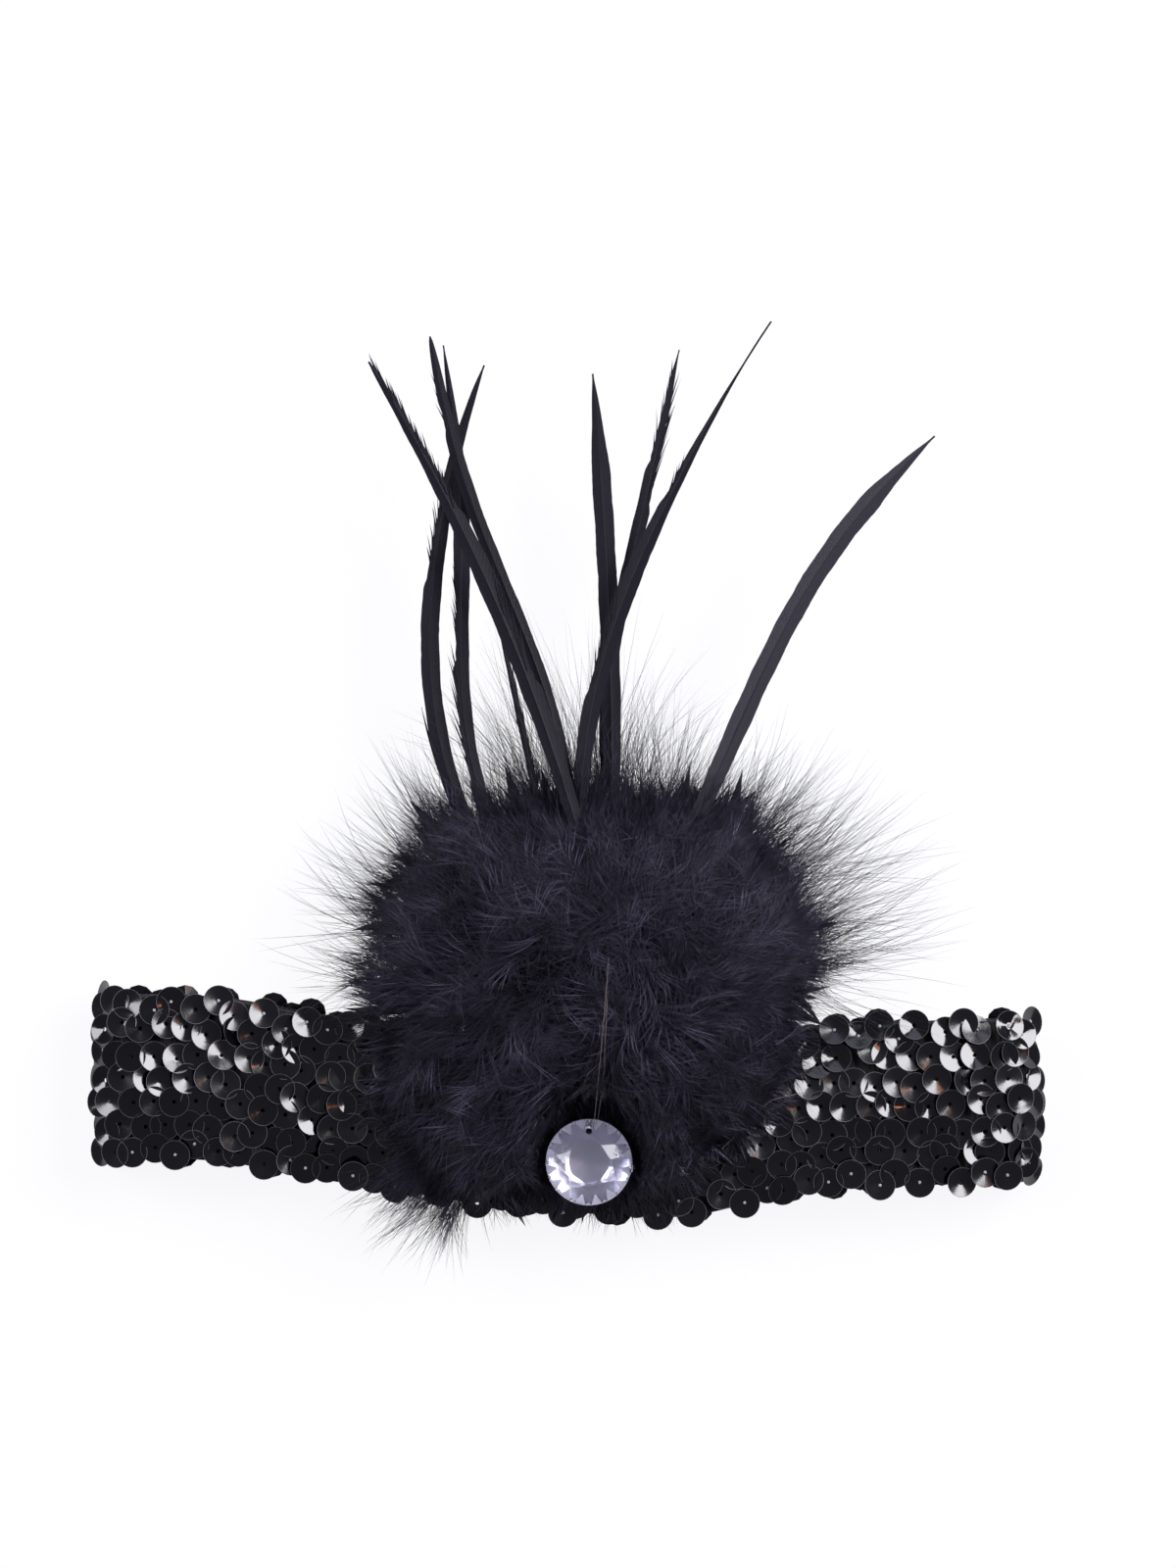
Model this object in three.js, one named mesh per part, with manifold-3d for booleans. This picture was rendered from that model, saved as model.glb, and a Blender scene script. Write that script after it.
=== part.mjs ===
// A flapper headband lying on its back: a flattened loop of sequinned stretch trim, a puff of
// marabou down sewn to the middle of its front, a spray of blade feathers standing out of the puff,
// and a faceted drop stone lying on the down. Millimetres, +Z up: the underside of the band rests
// on Z = 0, +Y runs towards the tips of the feathers, and the origin is under the band.

import * as THREE from "three";
import { mergeVertices } from "three/addons/utils/BufferGeometryUtils.js";
import { ConvexGeometry } from "three/addons/geometries/ConvexGeometry.js";
import Module from "manifold-3d";

const wasm = await Module();
wasm.setup();

// Air left between two pieces that touch on the real headband.
const clearance = 0.3;

// The band: a loop of knitted trim, pressed flat.
const bandSpan = 198; // across the flattened loop, fold to fold
const bandHeight = 36; // from edge to edge of the trim
const bandWall = 2; // knit with the sequins lying on it
const bandHollow = 10; // height of the gap between the two walls
const bandSag = 12; // how far the middle droops below the left end
const bandEndY = 5; // centreline of the left end

// The sequins, sewn in staggered rows.
const sequinPitch = 4.6; // from one sequin to the next along a row
const sequinRowPitch = 5.1; // from one row to the next
const sequinLift = 1; // how far a tilted sequin stands out of the wall
const sequinOverhang = 1.6; // how far an edge sequin stands out past the knit

// The puff of down.
const puffReach = 46; // from its heart to the ends of the locks
const puffDepth = 31; // from its heart to its front
const puffX = 8.8; // its heart, right of the middle of the band
const puffRise = 18.8; // its heart, above the upper edge of the band
const puffLift = 2; // its heart, in front of the sequins
const puffCore = 33; // radius of the dense middle
const puffPress = 5; // how much of the dense middle the floor presses flat
const lockRadius = 9.5;
const lockSides = 6;
const lockCurl = 0.1; // sideways drift of a lock's point, as a share of its length
const mouthGap = 6; // the down keeps this far from the mouths of the loop

// The blade feathers.
const bladeLength = 119; // the longest one
const bladeWidth = 4.3; // the widest one
const bladeThickness = 0.8;
const bladePitch = 1.9; // from one layer of blades to the next
const bladeDrop = 4; // the lowest layer lies this far under the heart of the puff
const bladeTip = 0.1; // width at the tip, as a share of the full width
const bladeRoot = 0.65; // width at the root
const bladeStations = 13;

// The drop stone.
const stoneDiameter = 18;
const stoneCrown = 2.8; // above the girdle
const stonePavilion = 3.2; // below the girdle
const stoneBed = 3.2; // down between the stone and the band
const stoneHole = 1.3;
const stoneHoleReach = 6.5; // from the middle of the stone to the hole
const stoneX = 4.7;
const stoneDrop = 5.7; // under the band's centreline
const nub = { length: 1.3, width: 1.6, thick: 0.9, drop: 0.3, turn: -8 }; // of the mould's gate

// Droop of the band's centreline at equal steps from the left fold to the right one.
const droop = [
  { sag: 0 },
  { sag: 0.03 },
  { sag: 0.38 },
  { sag: 0.69 },
  { sag: 0.92 },
  { sag: 1 },
  { sag: 0.56 },
  { sag: 0.46 },
  { sag: 0.41 },
];

// One sequin from its middle to the next one's: how far the wall stands out, as a share of
// sequinLift, and how far the edge of the band stands out, as a share of sequinOverhang.
const scale = [
  { lift: 0.55, edge: 1 },
  { lift: 1, edge: 0.8 },
  { lift: 0, edge: 0 },
  { lift: 0.3, edge: 0.8 },
];

// Reach of the puff round its heart, at equal steps from +X, as a share of puffReach.
const outline = [
  { reach: 1.06 },
  { reach: 1.08 },
  { reach: 1.04 },
  { reach: 0.94 },
  { reach: 1.04 },
  { reach: 1.14 },
  { reach: 1.22 },
  { reach: 1.3 },
  { reach: 1.42 },
  { reach: 1.18 },
  { reach: 1.18 },
  { reach: 1 },
];

// Rings of locks from the floor to the front: rise is the angle above the floor.
const lockRings = [
  { rise: 3, count: 22, turn: 0, share: 1 },
  { rise: 24, count: 18, turn: 10, share: 0.96 },
  { rise: 46, count: 13, turn: 0, share: 0.93 },
  { rise: 68, count: 7, turn: 20, share: 0.93 },
  { rise: 90, count: 1, turn: 0, share: 0.92 },
];

// One lock from its root to its point: at as a share of its length, thick of lockRadius.
const lockSections = [
  { at: 0, thick: 0 },
  { at: 0.02, thick: 0.8 },
  { at: 0.5, thick: 1 },
  { at: 0.8, thick: 0.62 },
  { at: 1, thick: 0 },
];

// The blades. root and tip are counted from the heart of the puff: root as shares of puffReach, tip
// as shares of bladeLength. bow and sway bend the blade to the right of its own run, as shares of
// its length; wide is a share of bladeWidth; full is the share of the length, from the tip, over
// which it gains its width, and fade how: 1 is straight, less is blunt, more is slender. layer
// counts bladePitch up from the lowest; climb lifts the tip.
const blades = [
  { name: "left_outer_feather", root: [-0.09, 0.39], tip: [-0.417, 1.034], bow: 0.039, sway: 0,
    wide: 1, full: 0.45, fade: 0.5, layer: 5, climb: 0.07 },
  { name: "left_tall_feather", root: [-0.13, 0.46], tip: [-0.312, 1.082], bow: 0.006, sway: 0.018,
    wide: 0.7, full: 0.24, fade: 0.4, layer: 3, climb: 0.05 },
  { name: "left_straight_feather", root: [-0.37, 0.22], tip: [-0.289, 1.068], bow: -0.044,
    sway: -0.025, wide: 0.8, full: 0.3, fade: 0.7, layer: 2, climb: 0.04 },
  { name: "left_bowed_feather", root: [-0.44, 0.2], tip: [-0.218, 1.035], bow: -0.125,
    sway: -0.008, wide: 0.9, full: 0.35, fade: 0.6, layer: 1, climb: 0.03 },
  { name: "left_short_feather", root: [-0.52, 0.37], tip: [-0.329, 0.436], bow: -0.05, sway: 0,
    wide: 0.28, full: 0.5, fade: 0.8, layer: 0, climb: 0.02 },
  { name: "left_thin_feather", root: [-0.26, 0.41], tip: [-0.208, 0.647], bow: 0.004, sway: 0,
    wide: 0.38, full: 0.5, fade: 0.8, layer: 2, climb: 0 },
  { name: "middle_feather", root: [0.01, 0.37], tip: [-0.028, 1.018], bow: 0.015, sway: 0,
    wide: 0.93, full: 0.2, fade: 0.8, layer: 2, climb: 0.05 },
  { name: "split_feather", root: [0.04, 0.43], tip: [0.124, 1.063], bow: -0.052, sway: -0.014,
    wide: 0.7, full: 0.22, fade: 0.8, layer: 1, climb: 0.02 },
  { name: "right_tall_feather", root: [-0.13, 0.41], tip: [0.282, 1.104], bow: -0.081,
    sway: -0.009, wide: 0.93, full: 0.5, fade: 1.3, layer: 4, climb: 0.08 },
  { name: "right_outer_feather", root: [0.28, 0.33], tip: [0.569, 0.908], bow: -0.058,
    sway: 0.011, wide: 1, full: 0.17, fade: 0.9, layer: 3, climb: 0.05 },
];

// Rings of the stone's corners: radius of half of stoneDiameter, height of its crown or pavilion.
const stoneRings = [
  { radius: 0.56, crown: 1, pavilion: 0, corners: 8, turn: 0 },
  { radius: 0.8, crown: 0.66, pavilion: 0, corners: 8, turn: 0.5 },
  { radius: 1, crown: 0.08, pavilion: 0, corners: 16, turn: 0 },
  { radius: 1, crown: 0, pavilion: 0.12, corners: 16, turn: 0 },
  { radius: 0.52, crown: 0, pavilion: 0.68, corners: 8, turn: 0.5 },
  { radius: 0.12, crown: 0, pavilion: 1, corners: 8, turn: 0 },
];

const materials = {
  sequin: new THREE.MeshStandardMaterial({ color: "#15151b", roughness: 0.2, metalness: 0.3 }),
  down: new THREE.MeshStandardMaterial({ color: "#14131a", roughness: 0.95, metalness: 0 }),
  blade: new THREE.MeshStandardMaterial({ color: "#131319", roughness: 0.6, metalness: 0 }),
  stone: new THREE.MeshStandardMaterial({ color: "#dfe2ee", roughness: 0.05, metalness: 0 }),
};

// Sizes that follow from the ones above.
const foldRadius = bandHollow / 2 + bandWall;
const bandFront = 2 * foldRadius + sequinLift;
const flatHalf = bandSpan / 2 - foldRadius - sequinLift;
const loopLength = 4 * flatHalf + 2 * Math.PI * foldRadius;

// Catmull-Rom value of a column whose rows stand at equal steps; a ring's last row meets its first.
function along(rows, column, share, ring = false) {
  const steps = ring ? rows.length : rows.length - 1;
  const place = share * steps;
  const first = Math.min(Math.floor(place), steps - 1);
  const wrap = (i) => (ring ? (i + rows.length) % rows.length : THREE.MathUtils.clamp(i, 0, steps));
  const [a, b, c, d] = [-1, 0, 1, 2].map((i) => rows[wrap(first + i)][column]);
  const t = place - first;
  return b + 0.5 * t * (c - a + t * (2 * a - 5 * b + 4 * c - d + t * (3 * (b - c) + d - a)));
}

function centreline(x) {
  const share = THREE.MathUtils.clamp(x / bandSpan + 0.5, 0, 1);
  return bandEndY - bandSag * along(droop, "sag", share);
}

// A closed geometry as a solid that can be joined and cut, and the way back.
function solidOf(geometry) {
  const bare = geometry.clone();
  bare.deleteAttribute("normal");
  bare.deleteAttribute("uv");
  const merged = mergeVertices(bare, 1e-4);
  return new wasm.Manifold(
    new wasm.Mesh({
      numProp: 3,
      vertProperties: new Float32Array(merged.attributes.position.array),
      triVerts: new Uint32Array(merged.index.array),
    }),
  );
}

function geometryOf(solid) {
  const { vertProperties, triVerts } = solid.getMesh();
  return geometryFrom(vertProperties, triVerts);
}

function geometryFrom(corners, faces) {
  const geometry = new THREE.BufferGeometry();
  geometry.setAttribute("position", new THREE.BufferAttribute(new Float32Array(corners), 3));
  geometry.setIndex(Array.from(faces));
  geometry.computeVertexNormals();
  return geometry;
}

// Two triangles on the corners a, b, c, d, given anticlockwise from outside.
const quad = (a, b, c, d) => [a, b, c, a, c, d];

// Place and outward direction at a length s round the flattened loop, from the left end of the
// front wall, over the right fold, back along the underside and up the left fold.
function loopAt(s) {
  const fold = Math.PI * foldRadius;
  if (s < 2 * flatHalf) return { x: s - flatHalf, turn: 0 };
  if (s < 2 * flatHalf + fold) return { x: flatHalf, turn: (s - 2 * flatHalf) / foldRadius };
  if (s < 4 * flatHalf + fold) return { x: 3 * flatHalf + fold - s, turn: Math.PI };
  return { x: -flatHalf, turn: Math.PI + (s - 4 * flatHalf - fold) / foldRadius };
}

function loopPoint(station, depth, lift) {
  const { x, turn } = loopAt(station.s);
  const standing = lift * Math.min(1, 1 + Math.cos(turn));
  const radius = foldRadius - depth + standing;
  return { x: x + radius * Math.sin(turn), z: foldRadius + radius * Math.cos(turn) };
}

// The stretch trim: columns run round the loop, four to a sequin on the front and the folds and two
// on the underside, and rows run from the lower edge to the upper one.
function makeBand() {
  const around = Math.round(loopLength / sequinPitch);
  const rows = Math.round(bandHeight / sequinRowPitch);
  const columns = [];
  for (let i = 0; i < around * scale.length; i++) {
    const s = (i * loopLength) / (around * scale.length);
    const underside = loopAt(s).turn === Math.PI;
    if (!underside || i % 2 === 0) columns.push({ s, phase: i % scale.length });
  }
  const corners = [];
  const place = (station, depth, lift, side) => {
    const { x, z } = loopPoint(station, depth, lift);
    corners.push(x, centreline(x) + side, z);
  };
  const half = bandHeight / 2;
  for (const column of columns) {
    for (let row = 0; row <= rows; row++) {
      const { lift, edge } = scale[(column.phase + 2 * (row % 2)) % scale.length];
      const atEdge = row === 0 || row === rows;
      const side = (row / rows - 0.5) * 2 * half;
      place(column, 0, lift * sequinLift, side + (atEdge ? Math.sign(side) * edge * sequinOverhang : 0));
    }
    place(column, bandWall, 0, -half);
    place(column, bandWall, 0, half);
  }
  const each = rows + 3;
  const faces = [];
  columns.forEach((_, i) => {
    const here = i * each;
    const next = ((i + 1) % columns.length) * each;
    for (let row = 0; row < rows; row++) {
      faces.push(...quad(here + row, next + row, next + row + 1, here + row + 1));
    }
    const low = rows + 1;
    const high = rows + 2;
    faces.push(...quad(here + high, next + high, next + low, here + low));
    faces.push(...quad(here + low, next + low, next, here));
    faces.push(...quad(here + rows, next + rows, next + high, here + high));
  });
  return geometryFrom(corners, faces);
}

// What the puff stays out of: the band, its mouths and a little air over its front.
function bandRoom() {
  const reach = bandHeight / 2 + sequinOverhang + mouthGap;
  const steps = 3 * (droop.length - 1);
  const end = bandSpan / 2 + clearance;
  const edge = (side) =>
    Array.from({ length: steps + 1 }, (_, i) => {
      const x = end * (2 * (i / steps) - 1);
      return new THREE.Vector2(x, centreline(x) + side);
    });
  const shape = new THREE.Shape([...edge(-reach), ...edge(reach).reverse()]);
  const depth = foldRadius + bandFront + clearance;
  const geometry = new THREE.ExtrudeGeometry(shape, { depth, bevelEnabled: false });
  return solidOf(geometry.translate(0, 0, -foldRadius));
}

const heart = new THREE.Vector3(
  puffX,
  centreline(0) + bandHeight / 2 + puffRise,
  bandFront + puffLift,
);

// One lock of down from the heart outwards: a tapered tuft, a little curled.
function makeLock(azimuth, rise, share) {
  const flat = puffReach * along(outline, "reach", azimuth / 360, true);
  const up = THREE.MathUtils.degToRad(rise);
  const out = THREE.MathUtils.degToRad(azimuth);
  const direction = new THREE.Vector3(
    flat * Math.cos(up) * Math.cos(out),
    flat * Math.cos(up) * Math.sin(out),
    puffDepth * Math.sin(up),
  );
  const length = share * direction.length();
  const profile = lockSections.map(({ at, thick }) => new THREE.Vector2(thick * lockRadius, at * length));
  const geometry = new THREE.LatheGeometry(profile, lockSides);
  const { position } = geometry.attributes;
  const curl = lockCurl * length * Math.sin(7 * out + up);
  for (let i = 0; i < position.count; i++) {
    position.setX(i, position.getX(i) + curl * (position.getY(i) / length) ** 2);
  }
  const turn = new THREE.Quaternion().setFromUnitVectors(new THREE.Vector3(0, 1, 0), direction.normalize());
  return solidOf(geometry.applyQuaternion(turn).translate(...heart.toArray()));
}

function makePuff(held) {
  const flatten = (heart.z + puffPress) / puffCore;
  const core = new THREE.IcosahedronGeometry(puffCore, 3).scale(1, 1, flatten);
  let puff = solidOf(core.translate(...heart.toArray()));
  for (const { rise, count, turn, share } of lockRings) {
    for (let i = 0; i < count; i++) {
      puff = puff.add(makeLock((turn + (360 * i) / count) % 360, rise, share));
    }
  }
  const floor = new THREE.BoxGeometry(4 * puffReach, 4 * puffReach, 4 * puffDepth);
  puff = puff.subtract(solidOf(floor.translate(heart.x, heart.y, -2 * puffDepth)));
  return held.reduce((left, taken) => left.subtract(taken), puff.subtract(bandRoom()));
}

// A blade from root to tip, grown on every side by spare when it is the seat for one.
function bladeGeometry({ root, tip, bow, sway, wide, full, fade, layer, climb }, spare = 0) {
  const start = new THREE.Vector2(...root).multiplyScalar(puffReach);
  const run = new THREE.Vector2(...tip).multiplyScalar(bladeLength).sub(start);
  const length = run.length();
  const ahead = run.normalize();
  const right = new THREE.Vector2(ahead.y, -ahead.x);
  const level = heart.z - bladeDrop + layer * bladePitch;
  const corners = [];
  for (let i = 0; i <= bladeStations; i++) {
    const t = i / bladeStations;
    const push = spare * (2 * t - 1);
    const bend = length * (bow * 4 * t * (1 - t) + sway * Math.sin(2 * Math.PI * t));
    const centre = start.clone().addScaledVector(ahead, t * length + push).addScaledVector(right, bend);
    const gain = Math.max(bladeTip, Math.min(1, (1 - t) / full) ** fade);
    const taper = THREE.MathUtils.lerp(bladeRoot, 1, THREE.MathUtils.smoothstep(t, 0, 0.35));
    const half = (bladeWidth * wide * gain * taper) / 2 + spare;
    const thick = bladeThickness / 2 + spare;
    const z = level + climb * length * t * t;
    for (const [side, up] of [[1, 0], [0, -1], [-1, 0], [0, 1]]) {
      corners.push(
        heart.x + centre.x + side * half * right.x,
        heart.y + centre.y + side * half * right.y,
        z + up * thick,
      );
    }
  }
  const faces = [...quad(3, 2, 1, 0)];
  for (let i = 0; i < bladeStations; i++) {
    for (let k = 0; k < 4; k++) {
      const here = 4 * i + k;
      const beside = 4 * i + ((k + 1) % 4);
      faces.push(...quad(here, beside, beside + 4, here + 4));
    }
  }
  const last = 4 * bladeStations;
  faces.push(...quad(last, last + 1, last + 2, last + 3));
  return geometryFrom(corners, faces);
}

const stoneMiddle = new THREE.Vector3(
  stoneX,
  centreline(stoneX) - stoneDrop,
  bandFront + stoneBed + stonePavilion,
);

// The stone's facets as the hull of its corners, grown on every side by spare for its seat.
function stoneBody(spare = 0) {
  const corners = [];
  for (const { radius, crown, pavilion, corners: count, turn } of stoneRings) {
    const r = (radius * stoneDiameter) / 2 + spare;
    const z = crown * stoneCrown - pavilion * stonePavilion + spare * Math.sign(crown - pavilion);
    for (let i = 0; i < count; i++) {
      const angle = ((i + turn) * 2 * Math.PI) / count;
      corners.push(new THREE.Vector3(r * Math.cos(angle), r * Math.sin(angle), z));
    }
  }
  return new ConvexGeometry(corners);
}

function nubBody(spare = 0) {
  const grown = [2 * nub.length, nub.width, nub.thick].map((size) => size + 2 * spare);
  return new THREE.BoxGeometry(...grown)
    .translate(stoneDiameter / 2, 0, -nub.drop)
    .rotateZ(THREE.MathUtils.degToRad(nub.turn));
}

function makeStone() {
  const through = 4 * (stoneCrown + stonePavilion);
  const drill = new THREE.CylinderGeometry(stoneHole / 2, stoneHole / 2, through, 10);
  drill.rotateX(Math.PI / 2).translate(0, stoneHoleReach, 0);
  return solidOf(stoneBody()).add(solidOf(nubBody())).subtract(solidOf(drill));
}

// The dent that the stone lies in, open to the front.
function stoneSeat() {
  const radius = stoneDiameter / 2 + nub.length + 2 * clearance;
  const tall = 2 * puffDepth;
  const way = new THREE.CylinderGeometry(radius, radius, tall, 20).rotateX(Math.PI / 2);
  way.translate(0, 0, tall / 2 - nub.thick);
  const seat = solidOf(stoneBody(clearance)).add(solidOf(nubBody(clearance)));
  return seat.add(solidOf(way)).translate(stoneMiddle.toArray());
}

const headband = new THREE.Group();

function addPiece(name, geometry, material) {
  const mesh = new THREE.Mesh(geometry, material);
  mesh.name = name;
  headband.add(mesh);
  return mesh;
}

addPiece("sequin_band", makeBand(), materials.sequin);

const seats = blades.map((blade) => solidOf(bladeGeometry(blade, clearance)));
addPiece("marabou_puff", geometryOf(makePuff([...seats, stoneSeat()])), materials.down);

for (const blade of blades) {
  addPiece(blade.name, bladeGeometry(blade), materials.blade);
}

addPiece("drop_stone", geometryOf(makeStone()), materials.stone).position.copy(stoneMiddle);

export default headband;
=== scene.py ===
import math

import bmesh
import bpy
import numpy as np
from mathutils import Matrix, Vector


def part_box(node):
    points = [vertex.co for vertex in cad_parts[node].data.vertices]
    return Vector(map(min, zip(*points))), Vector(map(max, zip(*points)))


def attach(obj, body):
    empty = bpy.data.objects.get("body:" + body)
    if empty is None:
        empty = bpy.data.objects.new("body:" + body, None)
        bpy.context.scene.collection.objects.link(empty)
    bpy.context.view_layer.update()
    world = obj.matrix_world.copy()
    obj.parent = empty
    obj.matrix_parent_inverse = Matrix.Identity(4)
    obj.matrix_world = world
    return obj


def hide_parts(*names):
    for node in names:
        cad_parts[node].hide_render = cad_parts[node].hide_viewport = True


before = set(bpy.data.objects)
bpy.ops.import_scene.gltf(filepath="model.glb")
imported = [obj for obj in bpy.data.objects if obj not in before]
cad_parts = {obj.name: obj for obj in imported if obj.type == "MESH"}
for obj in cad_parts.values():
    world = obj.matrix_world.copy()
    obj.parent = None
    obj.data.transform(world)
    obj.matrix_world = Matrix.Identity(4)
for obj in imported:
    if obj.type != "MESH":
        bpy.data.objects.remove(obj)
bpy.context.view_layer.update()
MM = 0.001


# Camera
# The headband lies on its back and is seen from straight above, with its feather tips up in the
# picture. The lens is long, so that what stands up hardly spreads.
VIEW_HEIGHT = 328 * MM
VIEW_CENTRE = (4.5 * MM, 66.6 * MM)
VIEW_PLANE = 15 * MM
LENS = 135
SENSOR = 36

camera_data = bpy.data.cameras.new("studio camera")
camera_data.lens = LENS
camera_data.sensor_width = SENSOR
camera_data.clip_start = 0.05
camera_data.clip_end = 20
camera = bpy.data.objects.new("studio_camera", camera_data)
camera.location = (*VIEW_CENTRE, VIEW_PLANE + VIEW_HEIGHT * LENS / SENSOR)
bpy.context.collection.objects.link(camera)
bpy.context.scene.camera = camera
# A plain transform, under which the ground stays white and the down as dark as it is.
bpy.context.scene.view_settings.view_transform = "Standard"


# Knitted ground
# A band of black polyester knit with rubber threads in it, sewn into a loop and pressed flat. The
# rubber draws it into fine ribs, and it shows inside the loop and between the sequins.
WALL = 2 * MM
HOLLOW = 10 * MM
SEQUIN_LIFT = 1 * MM
TRIM_HEIGHT = 36 * MM
SAG = 12 * MM
LEFT_END_Y = 5 * MM
DROOP = np.array([0, 0.03, 0.38, 0.69, 0.92, 1, 0.56, 0.46, 0.41])  # shares of SAG, left to right
KNIT_THICK = 0.8 * MM
KNIT_INSET = 1.1 * MM  # the knit lies this far under the outside of the wall
KNIT_RIB = 1.1 * MM
KNIT_PUCKER = 0.12 * MM
KNIT_BLACK = "#0a0a0d"
KNIT_COLUMNS = 280
KNIT_ROWS = 14
BAND = 2 * math.pi / 20  # metres from one band to the next of a wave texture at scale 1

band_low, band_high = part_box("sequin_band")
span = band_high[0] - band_low[0]
fold_radius = HOLLOW / 2 + WALL
flat_half = span / 2 - fold_radius - SEQUIN_LIFT
loop_length = 4 * flat_half + 2 * math.pi * fold_radius


def linear(hex_colour):
    """An sRGB hex colour as linear red, green, blue and alpha."""
    parts = [int(hex_colour[i : i + 2], 16) / 255 for i in (1, 3, 5)]
    return [p / 12.92 if p <= 0.04045 else ((p + 0.055) / 1.055) ** 2.4 for p in parts] + [1]


def add_node(material, kind, settings=None, links=None):
    """Adds a node to a material, with its properties and values set and its inputs linked."""
    node = material.node_tree.nodes.new(kind)
    for name, value in (settings or {}).items():
        if name in node.inputs:
            node.inputs[name].default_value = value
        else:
            setattr(node, name, value)
    for name, source in (links or {}).items():
        material.node_tree.links.new(source, node.inputs[name])
    return node


def new_material(name, settings, links=None):
    """A material with one Principled shader; links is a function from the material to its links."""
    material = bpy.data.materials.new(name)
    material.use_nodes = True
    material.node_tree.nodes.clear()
    made = links(material) if links else {}
    shader = add_node(material, "ShaderNodeBsdfPrincipled", settings, made)
    add_node(material, "ShaderNodeOutputMaterial", {}, {"Surface": shader.outputs["BSDF"]})
    return material


def add_piece(name, corners, faces, materials, replaced=(), crease=35, finish=None):
    """Makes a mesh piece of the object from corners in metres and arrays of faces.

    finish gives each face's place in materials.
    """
    mesh = bpy.data.meshes.new(name)
    corners = np.asarray(corners, float).reshape(-1, 3)
    sizes = np.concatenate([np.full(len(group), group.shape[1]) for group in faces])
    order = np.concatenate([group.ravel() for group in faces])
    mesh.vertices.add(len(corners))
    mesh.vertices.foreach_set("co", corners.ravel())
    mesh.loops.add(len(order))
    mesh.loops.foreach_set("vertex_index", order)
    mesh.polygons.add(len(sizes))
    mesh.polygons.foreach_set("loop_start", np.cumsum(sizes) - sizes)
    if finish is not None:
        mesh.polygons.foreach_set("material_index", finish)
    mesh.update(calc_edges=True)
    mesh.shade_smooth()
    mesh.set_sharp_from_angle(angle=math.radians(crease))
    for material in materials:
        mesh.materials.append(material)
    piece = bpy.data.objects.new(name, mesh)
    bpy.context.collection.objects.link(piece)
    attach(piece, "root")
    if replaced:
        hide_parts(*replaced)
    return piece


def centreline(x):
    """Height in the picture of the middle of the trim at x, a smooth curve through DROOP."""
    place = np.clip(np.asarray(x) / span + 0.5, 0, 1) * (len(DROOP) - 1)
    first = np.minimum(place.astype(int), len(DROOP) - 2)
    a, b, c, d = (DROOP[np.clip(first + i, 0, len(DROOP) - 1)] for i in (-1, 0, 1, 2))
    t = place - first
    sag = b + 0.5 * t * (c - a + t * (2 * a - 5 * b + 4 * c - d + t * (3 * (b - c) + d - a)))
    return LEFT_END_Y - SAG * sag


def on_loop(s, across, inset):
    """Points on the flattened loop at lengths s round it, and the ways out and along there."""
    s = np.asarray(s) % loop_length
    fold = math.pi * fold_radius
    flat = 2 * flat_half
    turn = np.select(
        [s < flat, s < flat + fold, s < 2 * flat + fold],
        [0 * s, (s - flat) / fold_radius, math.pi + 0 * s],
        math.pi + (s - 2 * flat - fold) / fold_radius,
    )
    middle = np.select(
        [s < flat, s < flat + fold, s < 2 * flat + fold],
        [s - flat_half, flat_half + 0 * s, flat_half + flat + fold - s],
        -flat_half + 0 * s,
    )
    radius = fold_radius - inset
    x = middle + radius * np.sin(turn)
    points = np.stack([x, centreline(x) + across, fold_radius + radius * np.cos(turn)], -1)
    out = np.stack([np.sin(turn), 0 * turn, np.cos(turn)], -1)
    ahead = np.stack([np.cos(turn), 0 * turn, -np.sin(turn)], -1)
    return points, out, ahead


def knit_links(material):
    place = add_node(material, "ShaderNodeTexCoord").outputs["Object"]
    rib = add_node(
        material,
        "ShaderNodeTexWave",
        {"wave_type": "BANDS", "bands_direction": "X", "Scale": BAND / KNIT_RIB,
         "Distortion": 1.2, "Detail": 2.0},
        {"Vector": place},
    )
    bump = add_node(
        material, "ShaderNodeBump", {"Strength": 0.6, "Distance": 0.3 * MM},
        {"Height": rib.outputs["Fac"]},
    )
    return {"Normal": bump.outputs["Normal"]}


around = np.linspace(0, loop_length, KNIT_COLUMNS, endpoint=False)
rows = np.linspace(-0.5, 0.5, KNIT_ROWS + 1) * (TRIM_HEIGHT - 2 * MM)
s_grid, row_grid = np.meshgrid(around, rows, indexing="ij")
pucker = KNIT_PUCKER * np.sin(2 * math.pi * s_grid / (3.3 * MM)) * np.cos(row_grid / (2.9 * MM))
outer, _, _ = on_loop(s_grid, row_grid, KNIT_INSET + pucker)
inner, _, _ = on_loop(s_grid, row_grid, KNIT_INSET + KNIT_THICK + pucker)
ring = np.concatenate([outer, inner[:, ::-1]], axis=1)
count = ring.shape[1]
i, k = np.meshgrid(np.arange(KNIT_COLUMNS), np.arange(count), indexing="ij")
here = i * count + k
ahead_i = (i + 1) % KNIT_COLUMNS * count
faces = np.stack(
    [here, ahead_i + k, ahead_i + (k + 1) % count, i * count + (k + 1) % count], -1
)
# Matt black yarn: the ground hardly shows between the discs, and inside the loop it is plain black
# with fine ribs.
knit_material = new_material(
    "black polyester knit",
    {"Base Color": linear(KNIT_BLACK), "Roughness": 0.85, "Sheen Weight": 0.15},
    knit_links,
)
knit = add_piece(
    "knitted_ground", ring, [faces.reshape(-1, 4)], [knit_material], ["sequin_band"]
)


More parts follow.
